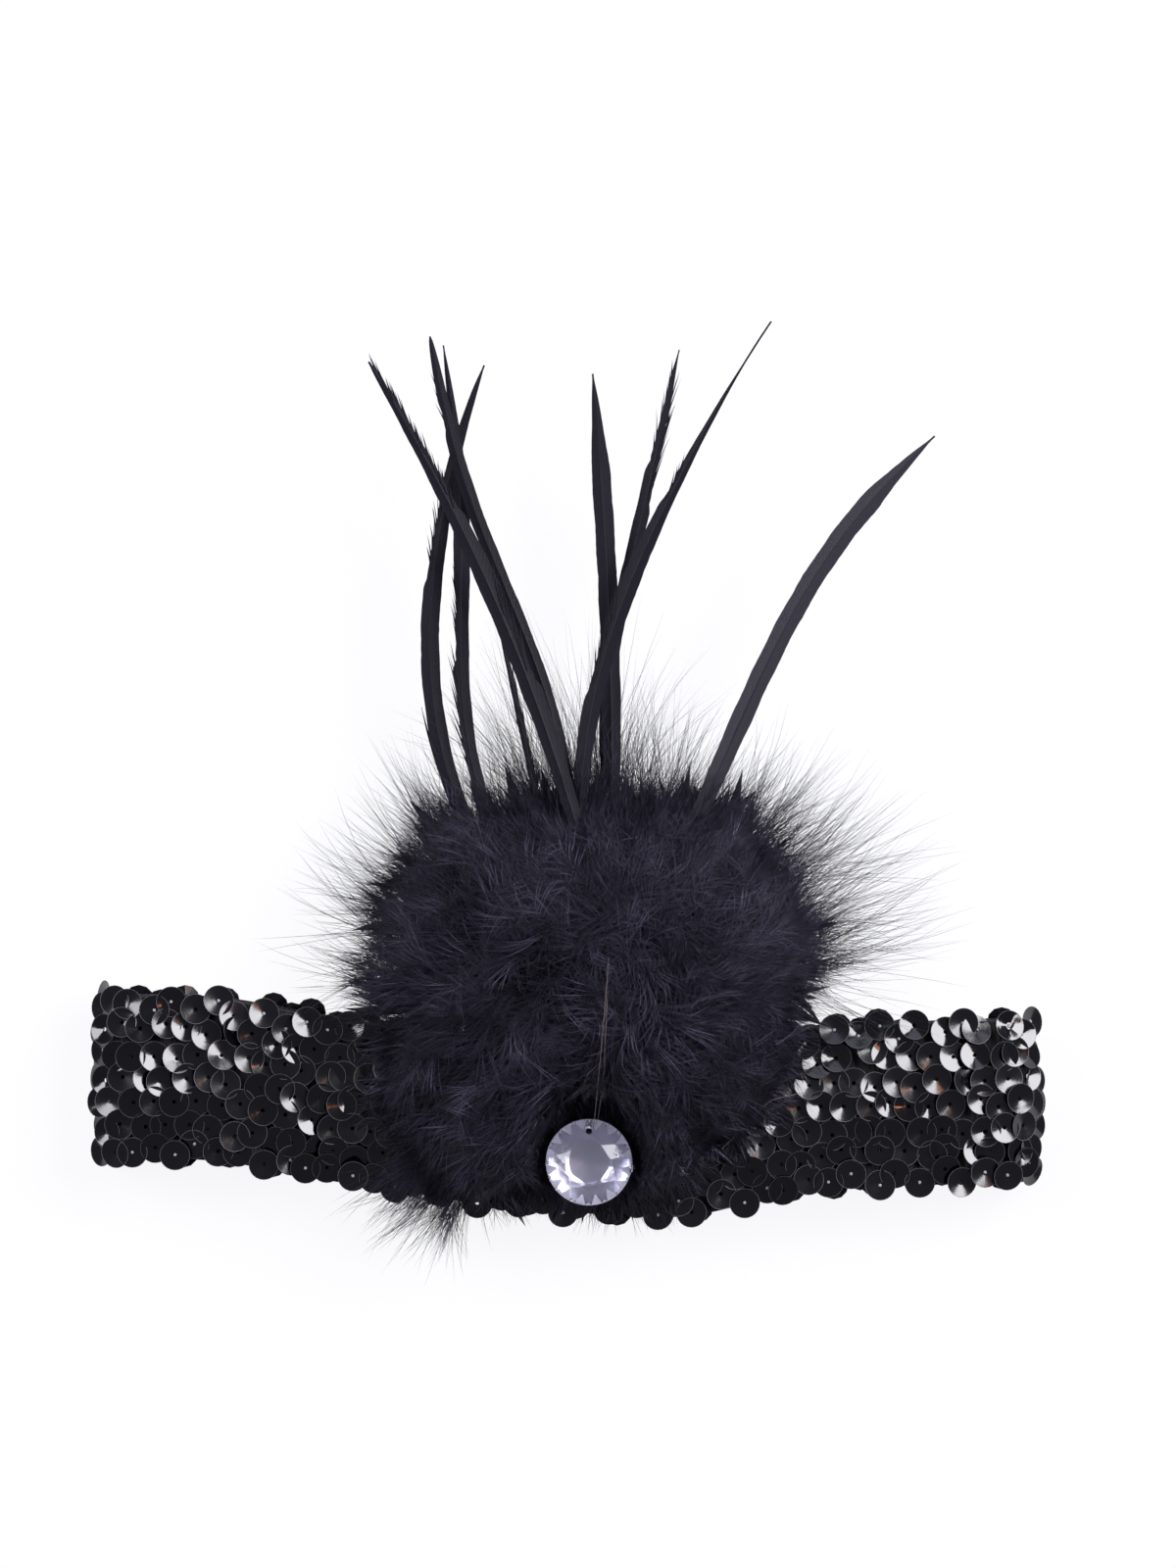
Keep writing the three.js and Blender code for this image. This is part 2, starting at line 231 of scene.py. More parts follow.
# Sequins
# Cup sequins of 6 mm, punched from glossy black PET film and pressed to a shallow cone. They are
# chain-stitched in rows through their middle hole, each lapping over the one before it, and the
# stretch of the knit tips them all ways.
SEQUIN_PITCH = 4.6 * MM
SEQUIN_ROWS = 7
SEQUIN_ROW_PITCH = 5.05 * MM
SEQUIN_ZIGZAG = 0.9 * MM  # neighbours in an edge row stand this far out and in
SEQUIN_LEAN = 4.5  # degrees that a disc leans on its neighbour in the row
SEQUIN_EDGE_LEAN = 10  # degrees that a disc at the trim's edge tips over it
SEQUIN_BEND = 12  # spread of the discs' bend: height for each distance squared, in metres
WILD_SHARE = 0.04  # discs that stand out of line
WILD_LEAN = 2.4  # times as far as the rest
SEQUIN_BLACK = "#050507"
SEQUIN_RIM_HIGHLIGHT = "#47464d"
STITCH_PAINTED_LIGHT = "#8d8d99"
# One sequin's section from the hole's rim over the top, round the edge and back underneath:
# radius and height in millimetres.
SEQUIN_SECTION = [
    (0.42, 0.0), (0.72, 0.03), (3.11, 0.53), (3.2, 0.54), (3.19, 0.47), (0.74, -0.06), (0.42, -0.08)
]
SEQUIN_CUT_EDGE = (2, 3)  # the stretches of that section that are cut edge
# Puckers of the trim: x and y in millimetres, how far they reach, and the tilt that they give the
# sequins towards +X and +Y, in degrees.
PUCKERS = [
    (-86, 7, 7, 13, 4),
    (-66, 9, 7, 13, 4),
    (-52, -3, 4, 12, 2),
    (-40, 5, 3, 13, 6),
    (-72, -8, 14, -5, 0),
    (84, 4, 9, 13, 4),
    (56, 9, 9, -4, 15),
    (62, -9, 14, -5, 0),
    (38, -1, 4, 12, 4),
    (-30, -18, 8, -12, 8),
]

rng = np.random.default_rng(7)


def turned(points, section):
    """A closed ring body turned from a section of (radius, height) corners."""
    section = np.array(section, float)
    angle = np.linspace(0, 2 * math.pi, points, endpoint=False)
    corners = np.stack(
        [
            np.outer(np.cos(angle), section[:, 0]),
            np.outer(np.sin(angle), section[:, 0]),
            np.outer(np.ones(points), section[:, 1]),
        ],
        -1,
    )
    n = len(section)
    i, k = np.meshgrid(np.arange(points), np.arange(n), indexing="ij")
    here, beside = i * n, (i + 1) % points * n
    quads = np.stack([here + k, here + (k + 1) % n, beside + (k + 1) % n, beside + k], -1)
    return corners.reshape(-1, 3), quads.reshape(-1, 4), k.ravel()


def unit(vectors):
    return vectors / (np.linalg.norm(vectors, axis=-1, keepdims=True) + 1e-12)


def lay_sequins(name, points, s, across, spread, lift):
    """Lays copies of one sequin on the loop, each with its own tilt, bend and height.

    Returns the middles of the sequins and the ways that they face.
    """
    body, quads, stretch = turned(points, SEQUIN_SECTION)
    place, out, ahead = on_loop(s, across, -lift)
    side = np.cross(out, ahead)
    n = len(s)
    lean = np.stack([np.full(n, SEQUIN_LEAN), SEQUIN_EDGE_LEAN * across / (TRIM_HEIGHT / 2)], 1)
    for x, y, reach, lean_x, lean_y in PUCKERS:
        near = np.exp(-(((place[:, 0] / MM - x) ** 2 + (place[:, 1] / MM - y) ** 2) / reach**2))
        lean += near[:, None] * np.array([lean_x, lean_y])
    lean = np.radians(lean + spread * rng.normal(size=(n, 2)))
    wild = rng.random(n) < WILD_SHARE
    lean[wild] *= WILD_LEAN
    raised = out + np.abs(out[:, :1]) * np.array([0, 0, 0.75]) * (out[:, 2:] > -0.7)
    normal = unit(raised + np.tan(lean[:, :1]) * ahead + np.tan(lean[:, 1:]) * side)
    first = unit(np.cross(side, normal))
    second = np.cross(normal, first)
    local = np.repeat(body[None] * MM, n, axis=0)
    spin = rng.uniform(0, math.pi, n)[:, None]
    bend = rng.normal(scale=SEQUIN_BEND, size=n)[:, None]
    local[..., 2] += bend * (local[..., 0] * np.cos(spin) + local[..., 1] * np.sin(spin)) ** 2
    corners = place[:, None] + local @ np.stack([first, second, normal], 1)
    corners[..., 2] = np.maximum(corners[..., 2], 0.02 * MM)
    faces = quads[None] + np.arange(n)[:, None, None] * len(body)
    # the cut edge of each disc takes the grey of a painted highlight
    cut_edge_highlight = np.tile(np.isin(stretch, SEQUIN_CUT_EDGE).astype(int), n)
    add_piece(
        name, corners, [faces.reshape(-1, 4)], [film, cut_rim_highlight], crease=8, finish=cut_edge_highlight
    )
    return place, normal


def dented(material, size, depth, strength=1.0, detail=1.5):
    """A surface with soft dents of a size and depth in metres."""
    place = add_node(material, "ShaderNodeTexCoord").outputs["Object"]
    dents = add_node(
        material, "ShaderNodeTexNoise", {"Scale": 1 / size, "Detail": detail}, {"Vector": place}
    )
    bump = add_node(
        material, "ShaderNodeBump", {"Strength": strength, "Distance": depth},
        {"Height": dents.outputs["Fac"]},
    )
    return bump.outputs["Normal"]


def piece_by_piece(material, low, high):
    """A number from low to high that differs from disc to disc, or from strand to strand."""
    island = add_node(material, "ShaderNodeNewGeometry").outputs["Random Per Island"]
    share = add_node(
        material, "ShaderNodeMapRange", {"To Min": low, "To Max": high}, {"Value": island}
    )
    return share.outputs["Result"]


def shaded(material, colour, share):
    """A colour made lighter or darker by a share."""
    tint = add_node(material, "ShaderNodeVectorMath", {"operation": "SCALE"}, {"Scale": share})
    tint.inputs[0].default_value = linear(colour)[:3]
    return tint.outputs[0]


def film_links(material):
    return {
        "Base Color": shaded(material, SEQUIN_BLACK, piece_by_piece(material, 0.6, 1.6)),
        "Roughness": piece_by_piece(material, 0.07, 0.2),
        "Normal": dented(material, 1.8 * MM, 0.1 * MM, 0.25),
    }


def rim_highlight_links(material):
    return {"Base Color": shaded(material, SEQUIN_RIM_HIGHLIGHT, piece_by_piece(material, 0.4, 1.5))}


def stitch_links(material):
    return {"Normal": dented(material, 0.2 * MM, 0.1 * MM)}


# Black PET is a dark mirror: a disc is jet black, or half of it flashes white where it faces a
# lamp.
film = new_material("black PET film", {"IOR": 1.64}, film_links)
# The punch leaves the edge of the film dull, and its grey is a painted highlight where it catches
# the light, so each disc is drawn round with a thin grey line.
cut_rim_highlight = new_material("cut edge of the film, painted highlight", {"Roughness": 0.4}, rim_highlight_links)
# Spun polyester whose pale colour is painted light: the stitches of the two outer rows are drawn
# as light dots in their holes.
stitch = new_material(
    "spun polyester thread, painted light dots", {"Base Color": linear(STITCH_PAINTED_LIGHT), "Roughness": 0.6}, stitch_links
)

per_row = round(loop_length / SEQUIN_PITCH)
row, step = np.meshgrid(np.arange(SEQUIN_ROWS), np.arange(per_row), indexing="ij")
s = (step + 0.5 * (row % 2)) * loop_length / per_row + rng.normal(scale=0.8 * MM, size=row.shape)
outermost = (row == SEQUIN_ROWS - 1) * 1.0 - (row == 0)
across = (row - (SEQUIN_ROWS - 1) / 2) * SEQUIN_ROW_PITCH
across = across + outermost * SEQUIN_ZIGZAG * (-1.0) ** step
across = across + rng.normal(scale=0.65 * MM, size=row.shape)
s, across, outermost = s.ravel() % loop_length, across.ravel(), outermost.ravel()
fold = math.pi * fold_radius
underneath = (s > 2 * flat_half + 0.8 * fold) & (s < 4 * flat_half + 1.2 * fold)
shown = ~underneath
height = (0.9 - 0.8 * np.abs(across[shown]) / (TRIM_HEIGHT / 2)) * MM
height = height + rng.uniform(-0.9, 0.1, shown.sum()) * MM
middles, facing = lay_sequins("sequins_front", 24, s[shown], across[shown], 5.5, height)
lay_sequins("sequins_back", 12, s[underneath], across[underneath], 2, 0 * s[underneath] - 0.7 * MM)

# the stitches that show in the holes of the two outer rows, painted pale as light dots
outer_rows = (outermost[shown] != 0) & (rng.random(shown.sum()) < 0.7)
middles, facing = middles[outer_rows], facing[outer_rows]
knot, quads, _ = turned(8, [(0.02, -0.5), (0.32, -0.4), (0.32, 0.14), (0.02, 0.2)])
beside = unit(np.cross(facing, np.array([0.1, 1.0, 0])))
beyond = np.cross(facing, beside)
corners = middles[:, None] + knot[None] * MM @ np.stack([beside, beyond, facing], 1)
faces = quads[None] + np.arange(len(middles))[:, None, None] * len(knot)
add_piece("outer_stitches", corners, [faces.reshape(-1, 4)], [stitch], crease=60)


# Marabou puff
# A string of dyed marabou, which is turkey down, wound to a rosette and sewn on the front of the
# trim. Each plume has a soft rib with fine barbs on both sides that cling in small locks. They
# spread from one heart, lie over the trim and end in single hairs that let the light through.
HEART = np.array([8.8, 30.8]) * MM
PUFF_TOP = 40 * MM
PUFF_RIM = 15 * MM
PUFF_REACH = 46 * MM
# Reach of the dense down round the heart, each 20 degrees from +X, as shares of PUFF_REACH.
PUFF_OUTLINE = np.array(
    [0.9, 0.89, 0.85, 0.77, 0.66, 0.66, 0.77, 0.95, 1.06]
    + [1.08, 1.14, 1.26, 1.27, 1.13, 1.11, 1.03, 0.95, 0.92]
)
PLUMES = 1000  # whole plumes, matted, under the barbs
LOCKS = 4400  # small locks of barbs all over the front
LOCK_BARBS = 6
TUFTS = 1800  # tufts of long single hairs at the outline
VEIL_TUFTS = 170  # more of them in front of the roots of the blades
TAIL_TUFTS = 120  # a stray lock at the lower left
TUFT_BARBS = 6
BARB_WIDTH = 0.13 * MM
DOWN_BLACK = "#201e27"
DOWN_SHINE = "#e2dfff"
HEART_PAINTED_SHADE = "#0b0a0f"
TRIM_FRONT = 2 * fold_radius + SEQUIN_LIFT
STONE_AXIS = np.array([4.7, -12.1]) * MM
STONE_ROOM = 10.2 * MM  # the down is pressed flat this far round the stone


def dense_reach(azimuth):
    """Reach of the dense down at an azimuth, a smooth closed curve through PUFF_OUTLINE."""
    steps = len(PUFF_OUTLINE)
    place = (azimuth / (2 * math.pi) % 1) * steps
    first = place.astype(int) % steps
    t = (1 - np.cos(math.pi * (place - place.astype(int)))) / 2
    smooth = PUFF_OUTLINE[first] * (1 - t) + PUFF_OUTLINE[(first + 1) % steps] * t
    ragged = 1 + 0.035 * np.sin(8 * azimuth + 1) + 0.025 * np.sin(15 * azimuth + 2)
    return PUFF_REACH * smooth * ragged


def distance_out(points):
    """How far points in the picture's plane lie from the heart, as shares of the dense reach."""
    away = points - HEART
    azimuth = np.arctan2(away[..., 1], away[..., 0])
    return np.hypot(away[..., 0], away[..., 1]) / dense_reach(azimuth)


def billow(points):
    """The swell of the tufts over points, from about -1 in a valley to 1 on a crest."""
    x, y = points[..., 0] / MM, points[..., 1] / MM
    swell = np.sin(x / 4.1 + 0.5 * np.sin(y / 5.3)) * np.cos(y / 4.7 + 1.2)
    return (swell + 0.7 * np.sin((x - y) / 3.3 + 1.7) + 0.5 * np.sin((x + 1.4 * y) / 6.1)) / 1.7


def dome(points):
    """Height of the puff's front over points in the picture's plane."""
    inside = np.maximum(1 - distance_out(points) ** 2, 0)
    return PUFF_RIM + (PUFF_TOP - PUFF_RIM) * inside**0.6 + 1.6 * MM * billow(points) * inside**0.3


def settle(points, spring=1.0):
    """Keeps down off the floor, in front of the trim, and pressed flat behind the stone."""
    x, y = points[..., 0], points[..., 1]
    over = (np.abs(y - centreline(x)) < TRIM_HEIGHT / 2 + 3 * MM) & (np.abs(x) < span / 2)
    points[..., 2] = np.maximum(points[..., 2], np.where(over, TRIM_FRONT + 0.3 * MM, 0.4 * MM))
    off = np.hypot(x - STONE_AXIS[0], y - STONE_AXIS[1]) - STONE_ROOM
    room = TRIM_FRONT + 2.2 * MM + 1.3 * spring * np.maximum(off, 0)
    points[..., 2] = np.minimum(points[..., 2], room)
    return points


def strands(paths, widths, sides=3, thin=1.0):
    """Closed bodies along paths (n, m, 3) with widths (n, m), each drawn to a point at its end."""
    n, m, _ = paths.shape
    along = unit(np.gradient(paths, axis=1))
    first = unit(np.cross(along, np.array([0.1, -0.1, 1.0])))
    second = np.cross(along, first) * thin
    angle = np.linspace(0, 2 * math.pi, sides, endpoint=False)[:, None]
    rings = paths[:, :-1, None] + widths[:, :-1, None, None] / 2 * (
        np.cos(angle) * first[:, :-1, None] + np.sin(angle) * second[:, :-1, None]
    )
    each = (m - 1) * sides + 1
    corners = np.concatenate([rings.reshape(n, -1, 3), paths[:, -1:]], axis=1)
    k = np.arange(sides)
    beside = (k + 1) % sides
    walls = [
        np.concatenate(
            [
                np.stack([j * sides + k, (j + 1) * sides + beside, (j + 1) * sides + k], -1),
                np.stack([j * sides + k, j * sides + beside, (j + 1) * sides + beside], -1),
            ]
        )
        for j in range(m - 2)
    ]
    last = (m - 2) * sides
    point = np.stack([last + k, last + beside, 0 * k + each - 1], -1)
    fan = np.arange(1, sides - 1)
    root = np.stack([0 * fan, fan + 1, fan], -1)
    one = np.concatenate([*walls, point, root])
    faces = one[None] + np.arange(n)[:, None, None] * each
    return corners.reshape(-1, 3), faces.reshape(-1, 3)


# the matted heart under the barbs, in painted shade
azimuth, far = np.meshgrid(
    np.linspace(0, 2 * math.pi, 96, endpoint=False), np.linspace(0, 1, 22)[1:], indexing="ij"
)
ripple = 1 + 0.06 * np.sin(9 * azimuth + 3) + 0.05 * np.sin(17 * azimuth)
flat = np.stack([np.cos(azimuth), np.sin(azimuth)], -1)
flat = HEART + flat * (0.72 * dense_reach(azimuth) * ripple * far)[..., None]
front = dome(flat) - (5 + 1.2 * np.sin(19 * azimuth + 8 * far)) * MM
front = PUFF_RIM + (front - PUFF_RIM) * np.clip(2.5 * (1 - far), 0, 1) ** 0.5
heart_top = settle(np.concatenate([flat, front[..., None]], -1))
heart_under = heart_top[:, ::-1].copy()
x, y = heart_under[..., 0], heart_under[..., 1]
over = np.abs(y - centreline(x)) < TRIM_HEIGHT / 2 + 3 * MM
inward = np.clip(2.2 * (1 - far[:, ::-1]), 0, 1)
heart_under[..., 2] = np.where(
    over, TRIM_FRONT, np.minimum(heart_under[..., 2] - 1 * MM, (14 - 10 * inward) * MM)
)
ring = np.concatenate([heart_top, heart_under[:, 1:]], axis=1)
count = ring.shape[1]
i, k = np.meshgrid(np.arange(len(ring)), np.arange(count - 1), indexing="ij")
here, beside = i * count + k, (i + 1) % len(ring) * count + k
quads = np.stack([here, here + 1, beside + 1, beside], -1).reshape(-1, 4)
corners = ring.reshape(-1, 3)
poles = np.array([[*HEART, PUFF_TOP - 5 * MM], [*HEART, 4 * MM]])
i = np.arange(len(ring))
after = (i + 1) % len(ring)
top_fan = np.stack([0 * i + len(corners), i * count, after * count], -1)
under_fan = np.stack([0 * i + len(corners) + 1, (after + 1) * count - 1, (i + 1) * count - 1], -1)


def heart_links(material):
    return {"Normal": dented(material, 1.5 * MM, 1.2 * MM, detail=4.0)}


# Down that is matted where it is sewn, painted darker than the barbs: painted shade, the black
# between the locks.
heart_painted_shade = new_material(
    "matted marabou, painted shade",
    {"Base Color": linear(HEART_PAINTED_SHADE), "Roughness": 0.9, "Specular IOR Level": 0.15},
    heart_links,
)
add_piece(
    "puff_heart",
    np.concatenate([corners, poles]),
    [quads, top_fan, under_fan],
    [heart_painted_shade],
    ["marabou_puff"],
    crease=180,
)

# the plumes and their barbs


def flow(points):
    """The way the down lies: out from the heart, swirled most near it, and combed up above it."""
    away = unit(points - HEART + 1e-6)
    x, y = points[..., 0] / MM, points[..., 1] / MM
    swirl = 0.8 * np.sin(x / 6.3 + 1.1) * np.cos(y / 7.1 + 0.4) + 0.5 * np.sin((x - y) / 4.6)
    swirl = swirl + 0.4 * np.sin((x + 0.7 * y) / 3.1 + 2)
    turn = (swirl * (0.13 + 1.0 * np.exp(-((distance_out(points) / 0.5) ** 2))))[..., None]
    lie = away * np.cos(turn) + np.stack([-away[..., 1], away[..., 0]], -1) * np.sin(turn)
    lie[..., 1] += 0.35 * np.clip(2 * away[..., 1] + 0.9, 0, 1)
    return unit(lie)


def grow(root, sink, rise, length, turn, curl, stations):
    """Paths of barbs that follow the flow from their roots, sunk there and risen at their tips."""
    place, flat, heading = root, [root], None
    for _ in range(stations - 1):
        lie = flow(place)
        lead = np.arctan2(lie[:, 1], lie[:, 0]) + turn
        heading = lead if heading is None else heading
        drift = (lead - heading + math.pi) % (2 * math.pi) - math.pi
        heading = heading + 0.4 * drift + curl / (stations - 1)
        step = np.stack([np.cos(heading), np.sin(heading)], -1)
        place = place + step * (length / (stations - 1))[:, None]
        flat.append(place)
    flat = np.stack(flat, 1)
    t = np.linspace(0, 1, stations)
    height = dome(flat) - sink[:, None] * (1 - t) + rise[:, None] * t**1.4
    spring = rng.uniform(0.9, 2.2, (len(root), 1))
    return settle(np.concatenate([flat, height[..., None]], -1), spring)


def tufted(count, barbs, low, high):
    """Random numbers from low to high, the same for all the barbs of one lock or tuft."""
    return np.repeat(rng.uniform(low, high, count), barbs)


def rooted(azimuth, far, scatter):
    """Places round the heart at azimuths and at shares of the dense reach, scattered a little."""
    around = np.stack([np.cos(azimuth), np.sin(azimuth)], -1)
    place = HEART + around * (dense_reach(azimuth) * far)[:, None]
    return place + rng.normal(scale=scatter, size=place.shape)


def add_down(name, paths, widths, shade, sides=3, thin=1.0, most=180000):
    """Makes barbs as pieces of the puff, in lots of at most so many triangles."""
    lots = math.ceil(len(paths) * 2 * sides * paths.shape[1] / most)
    for lot in range(lots):
        own_paths, own_shade = paths[lot::lots], shade[lot::lots]
        corners, faces = strands(own_paths, widths[lot::lots], sides, thin)
        piece = add_piece(f"{name}_{lot + 1}", corners, [faces], [down], crease=180)
        store = piece.data.attributes.new("shade", "FLOAT", "POINT")
        store.data.foreach_set("value", np.repeat(own_shade, len(corners) // len(own_paths)))


def down_links(material):
    shade = add_node(material, "ShaderNodeAttribute", {"attribute_name": "shade"})
    return {"Base Color": shaded(material, DOWN_BLACK, shade.outputs["Fac"])}


# Acid dye on keratin leaves a violet cast, and the dye takes unevenly, so the locks differ in tone.
# Some locks are painted paler as highlights, and the locks are painted lighter on the crests of the
# down and darker in its valleys. The smooth barbs glint a little along their length, which draws
# soft curved streaks on the black.
down = new_material(
    "dyed marabou barbs",
    {"Roughness": 0.45, "Specular IOR Level": 0.4, "Specular Tint": linear(DOWN_SHINE)},
    down_links,
)

# the matted plumes, from the heart to the edge of the dense down
azimuth = rng.uniform(0, 2 * math.pi, PLUMES)
far = np.sqrt(rng.uniform(0.1, 0.66, PLUMES))
paths = grow(
    rooted(azimuth, far, 0.5 * MM),
    rng.uniform(4, 7, PLUMES) * MM,
    rng.uniform(-4.5, -1.5, PLUMES) * MM,
    rng.uniform(11, 17, PLUMES) * MM,
    rng.normal(scale=0.3, size=PLUMES),
    rng.normal(scale=0.5, size=PLUMES),
    7,
)
widths = rng.uniform(1.9, 3.3, (PLUMES, 1)) * MM * np.array([0.5, 0.9, 1, 0.85, 0.6, 0.3, 0])
# painted shade: the plumes under the barbs are given a darker tone than the barbs
add_down("plumes", paths, widths, rng.uniform(0.25, 0.6, PLUMES), sides=4, thin=0.3)

# locks of barbs over the front, longest half way out
count = LOCKS * LOCK_BARBS
azimuth = tufted(LOCKS, LOCK_BARBS, 0, 2 * math.pi)
far = 0.95 * np.sqrt(tufted(LOCKS, LOCK_BARBS, 0.0005, 1))
root = rooted(azimuth, far, 0.4 * MM)
# about one lock in six is a painted highlight, drawn about four times as light and raised on top
highlight_locks = np.repeat(rng.random(LOCKS) < 0.17, LOCK_BARBS)
muddle = np.repeat(rng.normal(size=LOCKS), LOCK_BARBS)
length = tufted(LOCKS, LOCK_BARBS, 5, 10) + 4.5 * np.clip(3 * (1 - far), 0, 1)
paths = grow(
    root,
    tufted(LOCKS, LOCK_BARBS, 1, 4.5) * MM,
    (tufted(LOCKS, LOCK_BARBS, -0.5, 2.5) + rng.uniform(-0.4, 0.9, count) + 1.4 * highlight_locks) * MM,
    (length + rng.uniform(-1.5, 1.5, count)) * MM,
    muddle * (0.5 + 1.2 * np.exp(-((far / 0.3) ** 2))) + rng.normal(scale=0.14, size=count),
    np.repeat(rng.normal(scale=0.75, size=LOCKS), LOCK_BARBS) + rng.normal(scale=0.2, size=count),
    4,
)
widths = BARB_WIDTH * rng.uniform(0.7, 1.3, (count, 1)) * np.array([1, 1, 0.8, 0])
dyed = np.repeat(np.exp(rng.normal(scale=0.5, size=LOCKS)), LOCK_BARBS)
# painted light and shade: locks on the crests of the swell are lighter, those in its valleys darker
shade = dyed * (1 + 0.7 * billow(root)) * np.where(highlight_locks, 3.1, 0.75)
add_down("down", paths, widths, shade)


def add_hairs(name, azimuth, far, length, rise=(-7, 8)):
    """Tufts of single hairs that stand out from the down; rise is in millimetres."""
    count = len(azimuth)
    tufts = count // TUFT_BARBS
    paths = grow(
        rooted(azimuth, far, 0.8 * MM),
        tufted(tufts, TUFT_BARBS, 1, 7) * MM,
        (tufted(tufts, TUFT_BARBS, *rise) + rng.uniform(-1, 1, count)) * MM,
        length * rng.uniform(0.7, 1.15, count) * MM,
        np.repeat(rng.normal(scale=0.26, size=tufts), TUFT_BARBS)
        + rng.normal(scale=0.13, size=count),
        rng.normal(scale=0.3, size=count),
        5,
    )
    widths = BARB_WIDTH * rng.uniform(0.55, 1.05, (count, 1)) * np.array([1, 1, 0.85, 0.6, 0])
    add_down(name, paths, widths, np.repeat(rng.uniform(0.6, 1.5, tufts) ** 2, TUFT_BARBS))


# hairs round the outline: most are short, and many at the sides and among the blades are long
azimuth = np.where(
    tufted(TUFTS, TUFT_BARBS, 0, 1) < 0.85,
    tufted(TUFTS, TUFT_BARBS, -0.4, math.pi + 0.35),
    tufted(TUFTS, TUFT_BARBS, math.pi + 0.3, 2 * math.pi - 0.3),
)
upper = np.clip(np.sin(azimuth) * 3 + 1.2, 0, 1)
beside = np.clip(1.6 * np.cos(azimuth), -0.6, 1)
among_blades = np.exp(-(((azimuth - 1.75) / 0.4) ** 2))
long_share = 0.32 + 0.3 * np.abs(beside) + 0.3 * among_blades
long = tufted(TUFTS, TUFT_BARBS, 0, 1) < long_share * upper
tall = np.repeat(np.minimum(8 + rng.exponential(8, TUFTS), 24), TUFT_BARBS)
tall *= 1 + 0.5 * np.clip(np.cos(azimuth), 0, 1)
tall *= 1 + 0.8 * among_blades
tall *= 1 - 0.4 * np.exp(-(((azimuth - 0.95) / 0.25) ** 2))  # shorter by the outer blade
add_hairs(
    "hairs",
    azimuth,
    tufted(TUFTS, TUFT_BARBS, 0.5, 0.78) + 0.22 * upper,
    np.where(long, tall, tufted(TUFTS, TUFT_BARBS, 4, 9)),
)
add_hairs(
    "tail",
    np.radians(tufted(TAIL_TUFTS, TUFT_BARBS, 224, 240)),
    tufted(TAIL_TUFTS, TUFT_BARBS, 0.86, 1.06),
    tufted(TAIL_TUFTS, TUFT_BARBS, 6, 18),
)
add_hairs(
    "veil",
    np.radians(tufted(VEIL_TUFTS, TUFT_BARBS, 50, 130)),
    tufted(VEIL_TUFTS, TUFT_BARBS, 0.72, 1.0),
    tufted(VEIL_TUFTS, TUFT_BARBS, 9, 15),
    (8, 14),
)


# Blade feathers
# Ten goose quill strips, dyed black. Each is one narrow vane with its thin shaft left on, glued
# into the heart of the puff as a fan. The vane is close and smooth with a dull sheen, and where it
# has been rubbed its barbs come apart in little points.
BLADE_LENGTH = 119 * MM
BLADE_WIDTH = 4.3 * MM
BLADE_THICK = 0.35 * MM
BLADE_PITCH = 1.9 * MM
BLADE_LOW = 13 * MM  # height of the lowest layer of the fan
BLADE_POINT = 0.1
BLADE_ROOT = 0.65
BLADE_STATIONS = 110
SHAFT = 0.42 * MM
SHAFT_SPREAD = 0.45 * MM  # how far from its middle line the shaft raises the vane
VANE_CUP = 0.12  # how much the vane falls for each unit across
FRAY_WIDTH = 0.4 * MM  # of a loose barb at its root, with what clings to it
BARB_SLOPE = 2.4  # how far a barb runs along the vane for each unit across
BARB_PERIOD = 0.7 * MM  # real barbs stand 0.3 mm apart, and are drawn coarser so that they show
VANE_BLACK = "#12111a"
VANE_PAINTED_SHEEN = "#24232b"
QUILL_BLACK = "#1c1b22"
# Root and tip from the heart (shares of PUFF_REACH and of BLADE_LENGTH), bow and sway (shares of
# the length), width, share of the length that tapers, how bluntly, layer, climb, and the frays:
# side, from, to, barbs and their length in millimetres.
BLADES = {
    "left_outer_feather": (
        (-0.09, 0.39), (-0.417, 1.034), 0.039, 0, 1, 0.45, 0.5, 5, 0.07,
        [(1, 0.7, 0.96, 34, 7), (1, 0.36, 0.5, 14, 11)],
    ),
    "left_tall_feather": (
        (-0.13, 0.46), (-0.312, 1.082), 0.006, 0.018, 0.7, 0.24, 0.4, 3, 0.05,
        [(-1, 0.83, 0.86, 3, 8)],
    ),
    "left_straight_feather": (
        (-0.37, 0.22), (-0.289, 1.068), -0.044, -0.025, 0.8, 0.3, 0.7, 2, 0.04,
        [(-1, 0.45, 0.56, 12, 9), (-1, 0.24, 0.4, 16, 12)],
    ),
    "left_bowed_feather": (
        (-0.44, 0.2), (-0.218, 1.035), -0.125, -0.008, 0.9, 0.35, 0.6, 1, 0.03,
        [(-1, 0.62, 0.76, 16, 8)],
    ),
    "left_short_feather": (
        (-0.52, 0.37), (-0.329, 0.436), -0.05, 0, 0.28, 0.5, 0.8, 0, 0.02, []
    ),
    "left_thin_feather": (
        (-0.26, 0.41), (-0.208, 0.647), 0.004, 0, 0.38, 0.5, 0.8, 2, 0, [(1, 0.2, 0.6, 10, 11)]
    ),
    "middle_feather": ((0.01, 0.37), (-0.028, 1.018), 0.015, 0, 0.93, 0.2, 0.8, 2, 0.05, []),
    "split_feather": (
        (0.04, 0.43), (0.124, 1.063), -0.052, -0.014, 0.7, 0.22, 0.8, 1, 0.02,
        [(1, 0.7, 0.85, 14, 15), (-1, 0.78, 0.92, 8, 8)],
    ),
    "right_tall_feather": (
        (-0.13, 0.41), (0.282, 1.104), -0.081, -0.009, 0.93, 0.5, 1.3, 4, 0.08,
        [(-1, 0.66, 0.69, 5, 7), (-1, 0.3, 0.43, 12, 9)],
    ),
    "right_outer_feather": (
        (0.28, 0.33), (0.569, 0.908), -0.058, 0.011, 1, 0.17, 0.9, 3, 0.05, []
    ),
}


